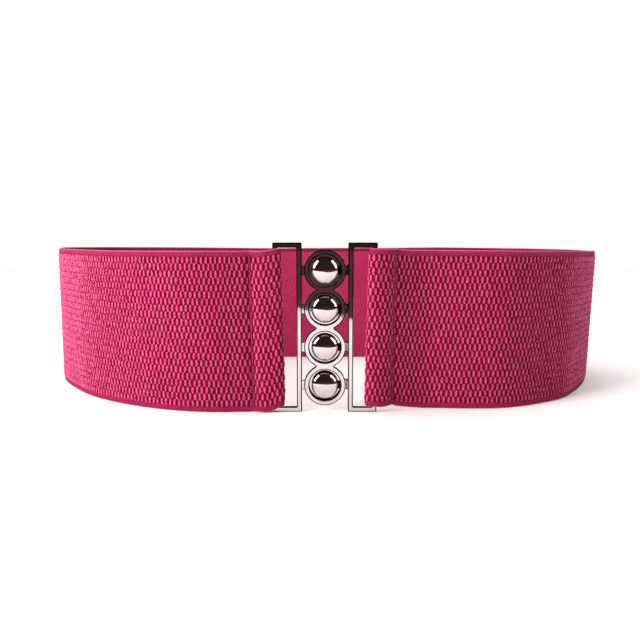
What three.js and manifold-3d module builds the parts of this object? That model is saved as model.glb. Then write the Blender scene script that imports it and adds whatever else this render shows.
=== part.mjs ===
// Wide elastic waist belt, fastened into a loop and standing on its lower edge.
// One knuckled elastic strap is folded round a cast frame at each end and sewn down. The frames are
// the two halves of a clasp: a column of rings on the left half, and a column of studs on the right
// half that stand through the rings.
// Millimetres, +Z up, +X to the right as seen from in front of the clasp, +Y towards the back.
// Everything is drawn from the clasp: x = 0 at its middle, y = 0 on the front face of its frames and
// z = 0 on the surface that the belt stands on. The last lines move the origin to the bottom centre.

import * as THREE from "three";
import { mergeVertices } from "three/addons/utils/BufferGeometryUtils.js";
import Module from "manifold-3d";

const wasm = await Module();
wasm.setup();

// Elastic strap
const STRAP_HEIGHT = 75; // a 3 inch elastic
const STRAP_THICKNESS = 1.8;
const SELVEDGE_HEIGHT = 3.4; // smooth woven edge above and below the knuckled field
const SELVEDGE_THICKNESS = 1.3;
const SELVEDGE_STEP = 0.5; // height over which the edge rises to the full thickness
const SELVEDGE_ROUND = 0.4; // at the very edge

// Loop, to the outside of the strap: sideways from the middle of the clasp, and back from its front
const LEFT_REACH = 155.5;
const RIGHT_REACH = 159;
const LOOP_DEPTH = 151;
const TOP_LEAN = 1.6; // how far the strap's top stands out from its foot where it leans

// Folded ends
const LEFT_SEAM = 15; // from the edge of the fold to the seam
const RIGHT_SEAM = 13.3;
const FLAP_TAIL = 4; // from the seam to the strap's cut end
const FLAP_GAP = 0.3; // between the strap and the flap sewn to its back
const FOLD_SLACK = 0.6; // between the strap and the bar that it is folded round
const WINDOW_SQUEEZE = 1; // how much lower the frame's window is than the strap

// Clasp frames
const BAR_WIDTH = 2.4;
const OUTER_BAR_WIDTH = 2;
const BAR_DEPTH = 2;
const FRAME_WIDTH = 13.4;
const CHAMFER = 0.25; // along the edges of the frames and the rings
const CLEARANCE = 0.3; // between pieces that seat on each other

// Ring column
const RING_COUNT = 4;
const RING_RADIUS = 9.7;
const RING_WALL = 2.4;
const RING_OVERLAP = 1.6; // how far each ring runs into the next
const RING_DEPTH = 2;
const LUG_LENGTH = 1; // from the rings to the frame at either side
const LUG_HEIGHT = 4.7;
const LUG_RECESS = 0.5; // from the front face back to the lugs

// Studs
const HEAD_CLEARANCE = 1; // all round the head, where it stands in its ring
const HEAD_SINK = 0.3; // from the rings' front face back to the widest part of the head
const DOME_HEIGHT = 3.6; // in front of the widest part
const HEAD_BACK = 1.2; // behind the widest part
const NECK_RADIUS = 3.6;
const ARM_DEPTH = 1.8;
const ARM_END_RADIUS = 4.8;

// Facets
const ROUND_STEPS = 32;
const DOME_STEPS = 7;
const BACK_STEPS = 2;
const STRAP_STEP = 7; // longest facet along the strap
const FOLD_STEPS = 6;

const STRAP_COLOUR = "#c02a66";
const METAL_COLOUR = "#cfc8c6";

// The sewn ends, from the edge of the fold outwards. out is a share of the distance to the seam.
// stand is how far the front layer stands forward of the bar's middle, a share of the fold's radius.
// apart is a share of the room between the layers at the fold, beyond the least that they keep.
// lift is a share of the height by which the frame's lower bar raises the strap.
const LEFT_END = [
  { out: 0.38, stand: 1.04, apart: 0.97, lift: 0.4 },
  { out: 0.62, stand: 1.02, apart: 0.6, lift: 0 },
  { out: 0.86, stand: 0.66, apart: 0.2, lift: 0 },
  { out: 1, stand: 0.32, apart: 0, lift: 0.1 },
  { out: 1.16, stand: 0.5, apart: 0, lift: 0 },
  { out: 1.5, stand: 0.62, apart: 0, lift: 0 },
];
const RIGHT_END = [
  { out: 0.42, stand: 0.98, apart: 0.95, lift: 1 },
  { out: 0.64, stand: 0.72, apart: 0.55, lift: 0.9 },
  { out: 0.86, stand: 0.02, apart: 0.2, lift: 0.85 },
  { out: 1, stand: -0.8, apart: 0, lift: 1 },
  { out: 1.16, stand: -1.05, apart: 0, lift: 0.7 },
  { out: 1.5, stand: -1.6, apart: 0, lift: 0.4 },
];
// The loop from beside the clasp round to the back. across is a share of the side's reach and back
// a share of LOOP_DEPTH, both at the foot. lean is a share of TOP_LEAN.
const LEFT_PLAN = [
  { across: 0.343, back: -0.006, lean: 0.3 },
  { across: 0.425, back: 0.007, lean: 0 },
  { across: 0.504, back: 0.033, lean: 0 },
  { across: 0.578, back: 0.068, lean: 0 },
  { across: 0.655, back: 0.116, lean: 0 },
  { across: 0.732, back: 0.175, lean: 0 },
  { across: 0.79, back: 0.232, lean: 0 },
  { across: 0.848, back: 0.306, lean: 0 },
  { across: 0.915, back: 0.4, lean: 0 },
  { across: 0.968, back: 0.5, lean: 0 },
  { across: 0.998, back: 0.63, lean: 0 },
  { across: 0.984, back: 0.77, lean: 0 },
  { across: 0.893, back: 0.895, lean: 0 },
  { across: 0.73, back: 0.965, lean: 0 },
  { across: 0.5, back: 0.992, lean: 0 },
  { across: 0.24, back: 1, lean: 0 },
];
const RIGHT_PLAN = [
  { across: 0.3, back: 0.046, lean: 0.8 },
  { across: 0.41, back: 0.041, lean: 0.6 },
  { across: 0.52, back: 0.043, lean: 0.6 },
  { across: 0.595, back: 0.066, lean: 0.7 },
  { across: 0.673, back: 0.112, lean: 0.9 },
  { across: 0.757, back: 0.189, lean: 1.1 },
  { across: 0.824, back: 0.28, lean: 1.3 },
  { across: 0.89, back: 0.385, lean: 1.5 },
  { across: 0.957, back: 0.51, lean: 1.5 },
  { across: 0.993, back: 0.64, lean: 1.4 },
  { across: 0.984, back: 0.78, lean: 1 },
  { across: 0.895, back: 0.9, lean: 0.6 },
  { across: 0.73, back: 0.968, lean: 0.2 },
  { across: 0.5, back: 0.993, lean: 0 },
  { across: 0.24, back: 1, lean: 0 },
];

// What follows from the sizes above
const half = STRAP_THICKNESS / 2;
const frameHeight = STRAP_HEIGHT - WINDOW_SQUEEZE + 2 * BAR_WIDTH;
const frameInner = RING_RADIUS + LUG_LENGTH;
const frameOuter = frameInner + FRAME_WIDTH;
const foldEdge = frameOuter - OUTER_BAR_WIDTH - FOLD_SLACK - STRAP_THICKNESS;
const foldRadius = BAR_DEPTH / 2 + FOLD_SLACK + half; // of the middle of the strap
const foldCentre = foldEdge + half + foldRadius;
const leastApart = STRAP_THICKNESS + FLAP_GAP;
const foldBottom = BAR_WIDTH + CLEARANCE;
const foldTop = frameHeight - BAR_WIDTH - CLEARANCE;
const ringPitch = 2 * RING_RADIUS - RING_OVERLAP;
const holeRadius = RING_RADIUS - RING_WALL;
const headRadius = holeRadius - HEAD_CLEARANCE;
const armFront = RING_DEPTH + CLEARANCE;
const ringHeights = Array.from(
  { length: RING_COUNT },
  (_, i) => frameHeight / 2 + (i - (RING_COUNT - 1) / 2) * ringPitch,
);

const SIDES = {
  left: { sign: -1, reach: LEFT_REACH, seam: LEFT_SEAM, end: LEFT_END, plan: LEFT_PLAN },
  right: { sign: 1, reach: RIGHT_REACH, seam: RIGHT_SEAM, end: RIGHT_END, plan: RIGHT_PLAN },
};

function solidFrom(geometry) {
  const bare = geometry.clone();
  bare.deleteAttribute("normal");
  bare.deleteAttribute("uv");
  const merged = mergeVertices(bare);
  return new wasm.Manifold(
    new wasm.Mesh({
      numProp: 3,
      vertProperties: new Float32Array(merged.attributes.position.array),
      triVerts: new Uint32Array(merged.index.array),
    }),
  );
}

function geometryFrom(solid) {
  const mesh = solid.getMesh();
  const geometry = new THREE.BufferGeometry();
  geometry.setAttribute("position", new THREE.BufferAttribute(mesh.vertProperties, 3));
  geometry.setIndex(new THREE.BufferAttribute(mesh.triVerts, 1));
  return geometry;
}

function namedMesh(name, geometry, color, roughness, metalness) {
  const faceted = geometry.toNonIndexed();
  faceted.computeVertexNormals();
  const mesh = new THREE.Mesh(
    faceted,
    new THREE.MeshStandardMaterial({ color, roughness, metalness }),
  );
  mesh.name = name;
  return mesh;
}

// Points on an arc in x and z, without its last point.
function arc(x, z, radius, from, to) {
  const steps = Math.ceil((Math.abs(to - from) / (2 * Math.PI)) * ROUND_STEPS);
  return Array.from({ length: steps }, (_, i) => {
    const angle = from + ((to - from) * i) / steps;
    return new THREE.Vector2(x + radius * Math.cos(angle), z + radius * Math.sin(angle));
  });
}

function rectangle(left, right, bottom, top) {
  return [
    new THREE.Vector2(left, bottom),
    new THREE.Vector2(right, bottom),
    new THREE.Vector2(right, top),
    new THREE.Vector2(left, top),
  ];
}

// An outline in x and z, given a depth and chamfered on both faces.
function plate(outline, holes, front, depth) {
  const shape = new THREE.Shape(outline);
  shape.holes = holes.map((points) => new THREE.Path(points));
  const geometry = new THREE.ExtrudeGeometry(shape, {
    depth: depth - 2 * CHAMFER,
    bevelSize: CHAMFER,
    bevelOffset: -CHAMFER,
    bevelThickness: CHAMFER,
    bevelSegments: 1,
  });
  geometry.rotateX(Math.PI / 2);
  return geometry.translate(0, front + depth - CHAMFER, 0);
}

function block(x, y, z) {
  const geometry = new THREE.BoxGeometry(x[1] - x[0], y[1] - y[0], z[1] - z[0]);
  return geometry.translate((x[0] + x[1]) / 2, (y[0] + y[1]) / 2, (z[0] + z[1]) / 2);
}

// The closed frame that an end of the strap is folded round.
function frame(side) {
  const inner = side.sign * frameInner;
  const outer = side.sign * frameOuter;
  const windowInner = side.sign * (frameInner + BAR_WIDTH);
  const windowOuter = side.sign * (frameOuter - OUTER_BAR_WIDTH);
  const outline = rectangle(Math.min(inner, outer), Math.max(inner, outer), 0, frameHeight);
  const window = rectangle(
    Math.min(windowInner, windowOuter),
    Math.max(windowInner, windowOuter),
    BAR_WIDTH,
    frameHeight - BAR_WIDTH,
  );
  return plate(outline, [window], 0, BAR_DEPTH);
}

// Rings that run into each other: the outline is a chain of arcs which meet at the necks.
function ringColumn() {
  const neck = Math.acos(ringPitch / 2 / RING_RADIUS);
  const quarter = Math.PI / 2;
  const last = RING_COUNT - 1;
  const up = ringHeights.flatMap((z, i) => {
    const from = i === 0 ? -quarter : neck - quarter;
    const to = i === last ? quarter : quarter - neck;
    return arc(0, z, RING_RADIUS, from, to);
  });
  const down = [...ringHeights].reverse().flatMap((z, i) => {
    const from = i === 0 ? quarter : quarter + neck;
    const to = i === last ? 3 * quarter : 3 * quarter - neck;
    return arc(0, z, RING_RADIUS, from, to);
  });
  const holes = ringHeights.map((z) => arc(0, z, holeRadius, 0, 2 * Math.PI));
  return plate([...up, ...down], holes, 0, RING_DEPTH);
}

// Left half of the clasp, cast in one: the frame, the ring column and the lugs between them.
function ringHalf() {
  const lugBack = Math.min(RING_DEPTH, BAR_DEPTH) - CHAMFER;
  const lugs = ringHeights.map((z) =>
    block(
      [-frameInner - BAR_WIDTH / 2, -RING_RADIUS + RING_WALL / 2],
      [LUG_RECESS, lugBack],
      [z - LUG_HEIGHT / 2, z + LUG_HEIGHT / 2],
    ),
  );
  return [ringColumn(), ...lugs].reduce(
    (solid, piece) => solid.add(solidFrom(piece)),
    solidFrom(frame(SIDES.left)),
  );
}

// A domed head on a neck, turned round the axis that points out of the ring.
function stud(z) {
  const root = armFront + ARM_DEPTH / 2 - HEAD_SINK; // sunk to the middle of the arm behind
  const meet = Math.acos(NECK_RADIUS / headRadius);
  const profile = [new THREE.Vector2(0, -root), new THREE.Vector2(NECK_RADIUS, -root)];
  for (let i = 0; i < BACK_STEPS; i += 1) {
    const angle = meet * (i / BACK_STEPS - 1);
    profile.push(new THREE.Vector2(headRadius * Math.cos(angle), HEAD_BACK * Math.sin(angle)));
  }
  for (let i = 0; i < DOME_STEPS; i += 1) {
    const angle = (Math.PI / 2) * (i / DOME_STEPS);
    profile.push(new THREE.Vector2(headRadius * Math.cos(angle), DOME_HEIGHT * Math.sin(angle)));
  }
  profile.push(new THREE.Vector2(0, DOME_HEIGHT));
  const geometry = new THREE.LatheGeometry(profile, ROUND_STEPS);
  geometry.rotateZ(Math.PI);
  return geometry.translate(0, HEAD_SINK, z);
}

// The arm behind a ring, with a round end under the stud, and its root on the frame's inner bar.
function armPieces(z) {
  const low = z - LUG_HEIGHT / 2;
  const high = z + LUG_HEIGHT / 2;
  const rootEnd = frameInner + BAR_WIDTH - CHAMFER;
  const end = plate(arc(0, z, ARM_END_RADIUS, 0, 2 * Math.PI), [], armFront, ARM_DEPTH);
  const bar = plate(rectangle(0, rootEnd, low, high), [], armFront, ARM_DEPTH);
  const root = block(
    [RING_RADIUS + CLEARANCE, rootEnd],
    [LUG_RECESS, armFront + ARM_DEPTH - CHAMFER],
    [low, high],
  );
  return [end, bar, root];
}

// Right half of the clasp, cast in one: the frame, and an arm and a stud for each ring.
function studHalf() {
  return ringHeights
    .flatMap((z) => [...armPieces(z), stud(z)])
    .reduce((solid, piece) => solid.add(solidFrom(piece)), solidFrom(frame(SIDES.right)));
}

function between(a, b, share) {
  return a + (b - a) * share;
}

// A row of an end's table at any distance from the fold, in between the rows that it lists.
function endRow(side, out) {
  const fold = { out: (half + foldRadius) / side.seam, stand: 1, apart: 1, lift: 1 };
  const rows = [fold, ...side.end.filter((row) => row.out > fold.out)];
  const next = Math.max(1, rows.findIndex((row) => row.out >= out));
  const [a, b] = [rows[next - 1], rows[next]];
  const share = (out - a.out) / (b.out - a.out);
  return {
    out,
    stand: between(a.stand, b.stand, share),
    apart: between(a.apart, b.apart, share),
    lift: between(a.lift, b.lift, share),
  };
}

// Cross-sections of one side of the strap, from its cut end round the bar and on to the back of the
// loop. x and y are the middle of the strap at its foot, lean is how far the top stands from it in x.
// At the sewn end it is the top that lies at the bar, and the foot leans in towards the clasp.
function sideSections(side) {
  const lean = side.sign * TOP_LEAN;
  const front = (row) => BAR_DEPTH / 2 - foldRadius * row.stand;
  const at = (row, y) => ({
    x: side.sign * (foldEdge + row.out * side.seam) - lean,
    y,
    lift: row.lift,
    lean,
  });
  const flapEnd = 1 + FLAP_TAIL / side.seam;
  const flapOuts = side.end.map((row) => row.out).filter((out) => out < flapEnd);
  const flap = [...flapOuts, flapEnd].reverse().map((out) => {
    const row = endRow(side, out);
    return at(row, front(row) + leastApart + row.apart * (2 * foldRadius - leastApart));
  });
  const fold = Array.from({ length: FOLD_STEPS + 1 }, (_, i) => {
    const angle = (Math.PI * i) / FOLD_STEPS;
    return {
      x: side.sign * (foldCentre - foldRadius * Math.sin(angle)) - lean,
      y: BAR_DEPTH / 2 + foldRadius * Math.cos(angle),
      lift: 1,
      lean,
    };
  });
  const sewn = side.end.map((row) => at(row, front(row)));
  const loop = side.plan.map((row) => ({
    x: side.sign * row.across * (side.reach - half),
    y: row.back * (LOOP_DEPTH - half),
    lift: 0,
    lean: row.lean * lean,
  }));
  return [...flap, ...fold, ...sewn, ...loop];
}

// The strap's cross-section as depth across the strap, positive on its knuckled face, and height.
function strapProfile() {
  const inner = -half;
  const edge = inner + SELVEDGE_THICKNESS;
  const bottom = [
    [half, SELVEDGE_HEIGHT + SELVEDGE_STEP],
    [edge, SELVEDGE_HEIGHT],
    [edge, SELVEDGE_ROUND],
    [edge - SELVEDGE_ROUND, 0],
    [inner + SELVEDGE_ROUND, 0],
    [inner, SELVEDGE_ROUND],
  ];
  const top = bottom.map(([depth, height]) => [depth, STRAP_HEIGHT - height]).reverse();
  return [...bottom, ...top].map(([depth, height]) => new THREE.Vector2(depth, height));
}

// One corner of the strap's mesh: a point of the profile at a place along the strap.
function strapPoint(place, corner) {
  const low = place.lift * foldBottom;
  const high = between(STRAP_HEIGHT, foldTop, place.lift);
  const height = corner.y / STRAP_HEIGHT;
  return [
    place.x + place.lean * height - place.along.y * corner.x,
    place.y + place.along.x * corner.x,
    between(low, high, height),
  ];
}

// Places along the strap, close enough together to follow its curves.
function strapPlaces(sections) {
  const middle = new THREE.CatmullRomCurve3(
    sections.map((section) => new THREE.Vector3(section.x, section.y, 0)),
  );
  const last = sections.length - 1;
  const placeAt = (i, share) => {
    const from = sections[i];
    const to = sections[Math.min(i + 1, last)];
    const t = (i + share) / last;
    const { x, y } = middle.getPoint(t);
    return {
      x,
      y,
      along: middle.getTangent(t),
      lift: between(from.lift, to.lift, share),
      lean: between(from.lean, to.lean, share),
    };
  };
  const places = sections.slice(0, last).flatMap((section, i) => {
    const next = sections[i + 1];
    const length = Math.hypot(next.x - section.x, next.y - section.y);
    const steps = Math.ceil(length / STRAP_STEP);
    return Array.from({ length: steps }, (_, k) => placeAt(i, k / steps));
  });
  return [...places, placeAt(last, 0)];
}

function strap() {
  const profile = strapProfile();
  const sections = [...sideSections(SIDES.left), ...sideSections(SIDES.right).reverse()];
  const places = strapPlaces(sections);
  const positions = places.flatMap((place) => profile.flatMap((corner) => strapPoint(place, corner)));
  const index = [];
  const count = profile.length;
  for (let i = 0; i < places.length - 1; i += 1) {
    for (let k = 0; k < count; k += 1) {
      const a = i * count + k;
      const b = i * count + ((k + 1) % count);
      index.push(a, a + count, b, b, a + count, b + count);
    }
  }
  const lastPlace = (places.length - 1) * count;
  for (const [a, b, c] of THREE.ShapeUtils.triangulateShape(profile, [])) {
    index.push(a, c, b, lastPlace + a, lastPlace + b, lastPlace + c);
  }
  const geometry = new THREE.BufferGeometry();
  geometry.setAttribute("position", new THREE.Float32BufferAttribute(positions, 3));
  geometry.setIndex(index);
  return geometry;
}

const belt = new THREE.Group();
belt.add(
  namedMesh("elastic_strap", strap(), STRAP_COLOUR, 0.85, 0),
  namedMesh("ring_half", geometryFrom(ringHalf()), METAL_COLOUR, 0.12, 1),
  namedMesh("stud_half", geometryFrom(studHalf()), METAL_COLOUR, 0.12, 1),
);
const middle = new THREE.Box3().setFromObject(belt).getCenter(new THREE.Vector3());
belt.position.set(-middle.x, -middle.y, 0);

export default belt;
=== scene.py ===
import math

import bpy
import numpy as np
from mathutils import Matrix, Vector
from mathutils.geometry import tessellate_polygon


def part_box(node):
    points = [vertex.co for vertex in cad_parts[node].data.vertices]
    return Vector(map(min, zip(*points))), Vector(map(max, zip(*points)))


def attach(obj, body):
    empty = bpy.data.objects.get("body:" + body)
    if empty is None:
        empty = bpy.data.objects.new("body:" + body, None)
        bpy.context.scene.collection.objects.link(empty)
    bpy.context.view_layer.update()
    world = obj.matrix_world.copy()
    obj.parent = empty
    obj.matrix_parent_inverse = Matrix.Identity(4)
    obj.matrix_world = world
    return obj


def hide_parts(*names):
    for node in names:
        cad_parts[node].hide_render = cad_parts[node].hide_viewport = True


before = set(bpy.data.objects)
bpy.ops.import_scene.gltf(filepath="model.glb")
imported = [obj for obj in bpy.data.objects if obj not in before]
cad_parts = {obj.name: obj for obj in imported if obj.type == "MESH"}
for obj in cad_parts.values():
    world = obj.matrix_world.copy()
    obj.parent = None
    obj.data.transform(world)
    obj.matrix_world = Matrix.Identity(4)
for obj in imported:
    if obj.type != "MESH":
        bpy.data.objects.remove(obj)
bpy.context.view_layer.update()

bl_info = {
    "name": "Elastic stretch belt",
    "version": (1, 0, 0),
    "blender": (4, 5, 0),
    "location": "View3D > Sidebar > Belt",
    "description": "Dresses the knuckled elastic strap and the cast ring and stud clasp of a waist belt",
    "category": "Object",
}

MM = 0.001
SEED = 7
FULL_TURN = 2 * math.pi

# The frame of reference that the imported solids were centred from: x = 0 is the middle of the clasp,
# y = 0 the front face of its frames.
RING_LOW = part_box("ring_half")[0]
STUD_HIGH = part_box("stud_half")[1]
CLASP_MIDDLE_X = (RING_LOW.x + STUD_HIGH.x) / 2
FRAME_FRONT_Y = RING_LOW.y

# The sewn ends of the strap, from the edge of the fold outwards. Columns: distance out as a share of
# the way to the seam, stand of the front layer forward of the bar as a share of the fold's radius,
# how far apart the layers are as a share of their room, and lift on to the frame's lower bar.
LEFT_END = (
    (0.38, 1.04, 0.97, 0.4),
    (0.62, 1.02, 0.6, 0),
    (0.86, 0.66, 0.2, 0),
    (1, 0.32, 0, 0.1),
    (1.16, 0.5, 0, 0),
    (1.5, 0.62, 0, 0),
)
RIGHT_END = (
    (0.42, 0.98, 0.95, 1),
    (0.64, 0.72, 0.55, 0.9),
    (0.86, 0.02, 0.2, 0.85),
    (1, -0.8, 0, 1),
    (1.16, -1.05, 0, 0.7),
    (1.5, -1.6, 0, 0.4),
)
# The loop from beside the clasp round to the back. Columns: across as a share of the side's reach,
# back as a share of the loop's depth, the top's lean outwards as a share of the full lean, and how far
# the slack top stands above the strap's height as a share of the full rise.
LEFT_PLAN = (
    (0.343, -0.006, 0.3, 0),
    (0.425, 0.007, 0, 0),
    (0.504, 0.033, 0, 0),
    (0.578, 0.068, 0, 0),
    (0.655, 0.116, 0, 0),
    (0.732, 0.175, 0, 0.2),
    (0.79, 0.232, 0, 0.3),
    (0.848, 0.306, 0, 0.4),
    (0.915, 0.4, 0, 0.5),
    (0.968, 0.5, 0, 0.8),
    (0.998, 0.63, 0, 1),
    (0.984, 0.77, 0, 1),
    (0.893, 0.895, 0, 1),
    (0.73, 0.965, 0, 0.9),
    (0.5, 0.992, 0, 0.7),
    (0.24, 1, 0, 0.3),
)
RIGHT_PLAN = (
    (0.3, 0.046, 0.8, 0.35),
    (0.41, 0.041, 0.6, 0.2),
    (0.52, 0.043, 0.6, 0.1),
    (0.595, 0.066, 0.7, -0.1),
    (0.673, 0.112, 0.9, -0.1),
    (0.762, 0.177, 1.1, -0.2),
    (0.832, 0.268, 1.3, -0.4),
    (0.898, 0.375, 1.5, -0.6),
    (0.961, 0.505, 1.5, -0.5),
    (0.993, 0.64, 1.4, -0.7),
    (0.984, 0.78, 1, -0.3),
    (0.895, 0.9, 0.6, 0.1),
    (0.73, 0.968, 0.2, 0.4),
    (0.5, 0.993, 0, 0.8),
    (0.24, 1, 0, 0.5),
)
# The plain edges and lining of the strap, from the knuckled face round the foot and up the inside.
# Columns: depth out of the strap's middle as a share of half its thickness, and height in selvedges.
SELVEDGE_SECTION = (
    (0.44, 0.96),
    (0.5, 0.66),
    (0.36, 0.34),
    (0.05, 0.09),
    (-0.4, 0.0),
    (-0.8, 0.06),
    (-1.0, 0.26),
)
LINING_ROWS = 2
# A bevelled edge of the casting. Columns: depth in from the side and back from the face, as shares of the
# edge, and the degrees that the surface has turned there.
SOFT_BEVEL = ((1.0, 0.0, 0), (0.92, 0.04, 40), (0.5, 0.46, 45), (0.08, 0.9, 50), (0.0, 1.0, 90))
# At a seam: the spread of its pull along the strap, the share of the knuckles' relief that it presses flat
# and the share of its groove that the plain edges take.
SEAM_SPREAD, SEAM_PRESS, EDGE_GROOVE = 1.3 * MM, 0.55, 0.6
# How far the roots of lugs and arms stop short of the faces that they join, and the rounding of corners.
ROOT_INSET = 0.25 * MM
ARM_CORNER, FRAME_CORNER, WINDOW_CORNER = 0.3 * MM, 0.5 * MM, 0.4 * MM
# Middle and size of the right soft box, which the left one mirrors, and of the lamps; the point that the
# lamps aim at and their tint.
BOX_PLACE, BOX_SIZE = (0.58, -0.02, 0.38), (0.42, 0.52)
KEY_PLACE, KEY_SIZE = (-0.85, -0.62, 0.52), (0.45, 0.45)
OVERHEAD_PLACE, OVERHEAD_SIZE = (0.0, 0.6, 1.5), (3.0, 3.0)
LAMP_AIM, LAMP_TINT = (0, 0, 0.03), (1.0, 0.99, 0.98)


def length(name, description, default):
    return bpy.props.FloatProperty(
        name=name, description=description, default=default, unit="LENGTH", precision=5
    )


def share(name, description, default):
    return bpy.props.FloatProperty(
        name=name, description=description, default=default, min=0, max=1, subtype="FACTOR"
    )


def amount(name, description, default):
    return bpy.props.FloatProperty(name=name, description=description, default=default, min=0)


def angle(name, description, degrees):
    return bpy.props.FloatProperty(
        name=name, description=description, default=math.radians(degrees), subtype="ANGLE"
    )


def colour(name, description, default):
    return bpy.props.FloatVectorProperty(
        name=name, description=description, default=default, size=3, min=0, max=1, subtype="COLOR"
    )


class BeltStrapSettings(bpy.types.PropertyGroup):
    height: length("Height", "Width of the elastic, edge to edge", 75 * MM)
    thickness: length("Thickness", "Elastic with its knuckles", 1.8 * MM)
    selvedge: length("Selvedge", "Height of the smooth edge", 2.6 * MM)
    left_reach: length("Left reach", "Middle of the clasp to the outside of the left side", 156.4 * MM)
    right_reach: length("Right reach", "Middle of the clasp to the outside of the right side", 159 * MM)
    loop_depth: length("Loop depth", "Front of the frames to the outside of the back", 151 * MM)
    top_lean: length("Top lean", "How far the top stands out from the foot", 1.6 * MM)
    top_rise: length("Top rise", "How far the slack top stands above the strap's height", 1.2 * MM)
    left_seam: length("Left seam", "Edge of the fold to the seam", 15 * MM)
    right_seam: length("Right seam", "Edge of the fold to the seam", 13.3 * MM)
    flap_tail: length("Flap tail", "Seam to the cut end of the strap", 4 * MM)
    flap_gap: length("Flap gap", "Between the strap and its flap", 0.3 * MM)
    fold_slack: length("Fold slack", "Between the strap and the bar inside the fold", 0.6 * MM)
    column_pitch: length("Column pitch", "Distance between knuckles along the strap", 2.3 * MM)
    knuckle_rows: bpy.props.IntProperty(
        name="Knuckle rows", description="Rows of knuckles up the strap", default=22, min=4
    )
    relief: length("Relief", "Height of the knuckles over the slots between them", 1.0 * MM)
    groove: length("Seam groove", "How deep the seams pull into the face", 0.55 * MM)
    top_colour: colour("Knuckle colour", "Crown of the knuckles", (0.73, 0.1, 0.25))
    # Painted shade: the slots between the knuckles take this darker colour.
    slot_shade_colour: colour("Slot colour", "Slots between the knuckles", (0.2, 0.0, 0.022))
    edge_colour: colour("Selvedge colour", "Smooth edges", (0.29, 0.014, 0.066))
    lining_colour: colour("Lining colour", "Plain inner face", (0.44, 0.026, 0.105))
    # Painted highlight: the turned lips along the top and bottom edges are lighter than the selvedge.
    lip_highlight_colour: colour("Lip colour", "Turned lips at the very edges", (0.62, 0.1, 0.21))
    # Painted shade: a dark band along the top of the lining, where the inside of the loop lies in shadow.
    band_shade_colour: colour("Inner band colour", "Inside of the upper selvedge", (0.17, 0.018, 0.045))
    thread_colour: colour("Thread colour", "Stitches of the seams", (0.4, 0.02, 0.09))


class BeltClaspSettings(bpy.types.PropertyGroup):
    bar_width: length("Bar width", "Width of the frames' bars", 2.4 * MM)
    outer_bar_width: length("Outer bar width", "Bar inside the fold", 2 * MM)
    bar_depth: length("Bar depth", "Front to back of the bars", 2 * MM)
    frame_width: length("Frame width", "Outside width of a frame", 13.4 * MM)
    edge_round: length("Edge round", "Softened edges of the casting", 0.5 * MM)
    clearance: length("Clearance", "Between pieces that seat on each other", 0.3 * MM)
    rings: bpy.props.IntProperty(name="Rings", description="Rings in the column", default=4, min=1)
    ring_radius: length("Ring radius", "Outside of a ring", 9.7 * MM)
    ring_wall: length("Ring wall", "Rim to hole", 2.4 * MM)
    ring_overlap: length("Ring overlap", "How far a ring runs into the next", 1.6 * MM)
    lug_length: length("Lug length", "Rings to frames", 1 * MM)
    lug_height: length("Lug height", "Height of the lugs and arms", 4.7 * MM)
    lug_recess: length("Lug recess", "Front of the frames to the lugs", 1 * MM)
    head_clearance: length("Head clearance", "Round a stud's head in its ring", 1 * MM)
    head_sink: length("Head sink", "Widest part of the head behind the rings' face", 0.3 * MM)
    dome_height: length("Dome height", "Front of the head before its widest part", 3.6 * MM)
    disc_inset: length("Disc inset", "Rim of a ring to the rim of the disc behind it", 1.5 * MM)
    arm_depth: length("Arm depth", "Thickness of the arms behind the rings", 1.8 * MM)
    # The warm pink tint is partly the plating's own tone and partly painted reflection of the pink elastic.
    metal_colour: colour("Metal colour", "Plated metal", (0.66, 0.57, 0.56))
    metal_roughness: share("Metal roughness", "Polish of the plating", 0.03)


class BeltStageSettings(bpy.types.PropertyGroup):
    camera_height: length("Camera height", "Lens above the surface", 78 * MM)
    camera_distance: length("Camera distance", "Lens to the front of the frames", 297.5 * MM)
    camera_offset: length("Camera offset", "Lens to the left of the clasp's middle", 2.3 * MM)
    camera_pitch: angle("Camera pitch", "Downward tilt", 6.65)
    lens_mm: amount("Lens", "Focal length on a 36 mm sensor", 36.56)
    left_distance: length("Left distance", "Clasp to the dark card that its left half reflects", 0.5)
    right_distance: length("Right distance", "Clasp to the dark card that its right half reflects", 0.345)
    surround_colour: colour("Surround colour", "Low, dim part of the room", (0.1, 0.05, 0.06))
    dark_colour: colour("Dark colour", "Dark part of the room above it", (0.03, 0.022, 0.022))
    room_glow: amount("Room glow", "Even light from all round", 0.36)
    box_glow: amount("Box glow", "Brightness of the soft boxes in the metal", 8.0)
    key_power: amount("Key power", "Watts of the lamp at the upper left", 16)
    overhead_power: amount("Overhead power", "Watts of the lamp above", 50)
    floor_colour: colour("Floor colour", "Plain pale surface", (0.9, 0.89, 0.89))


def settings():
    scene = bpy.context.scene
    return scene.belt_strap, scene.belt_clasp, scene.belt_stage


def clasp_layout(clasp, strap):
    """Places of the clasp's pieces, measured from the middle of the clasp."""
    frame_height = strap.height - 1 * MM + 2 * clasp.bar_width
    inner = clasp.ring_radius + clasp.lug_length
    outer = inner + clasp.frame_width
    pitch = 2 * clasp.ring_radius - clasp.ring_overlap
    middle = (clasp.rings - 1) / 2
    return {
        "height": frame_height,
        "inner": inner,
        "outer": outer,
        "pitch": pitch,
        "rings": [frame_height / 2 + (i - middle) * pitch for i in range(clasp.rings)],
        "hole": clasp.ring_radius - clasp.ring_wall,
        "head": clasp.ring_radius - clasp.ring_wall - clasp.head_clearance,
    }


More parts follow.
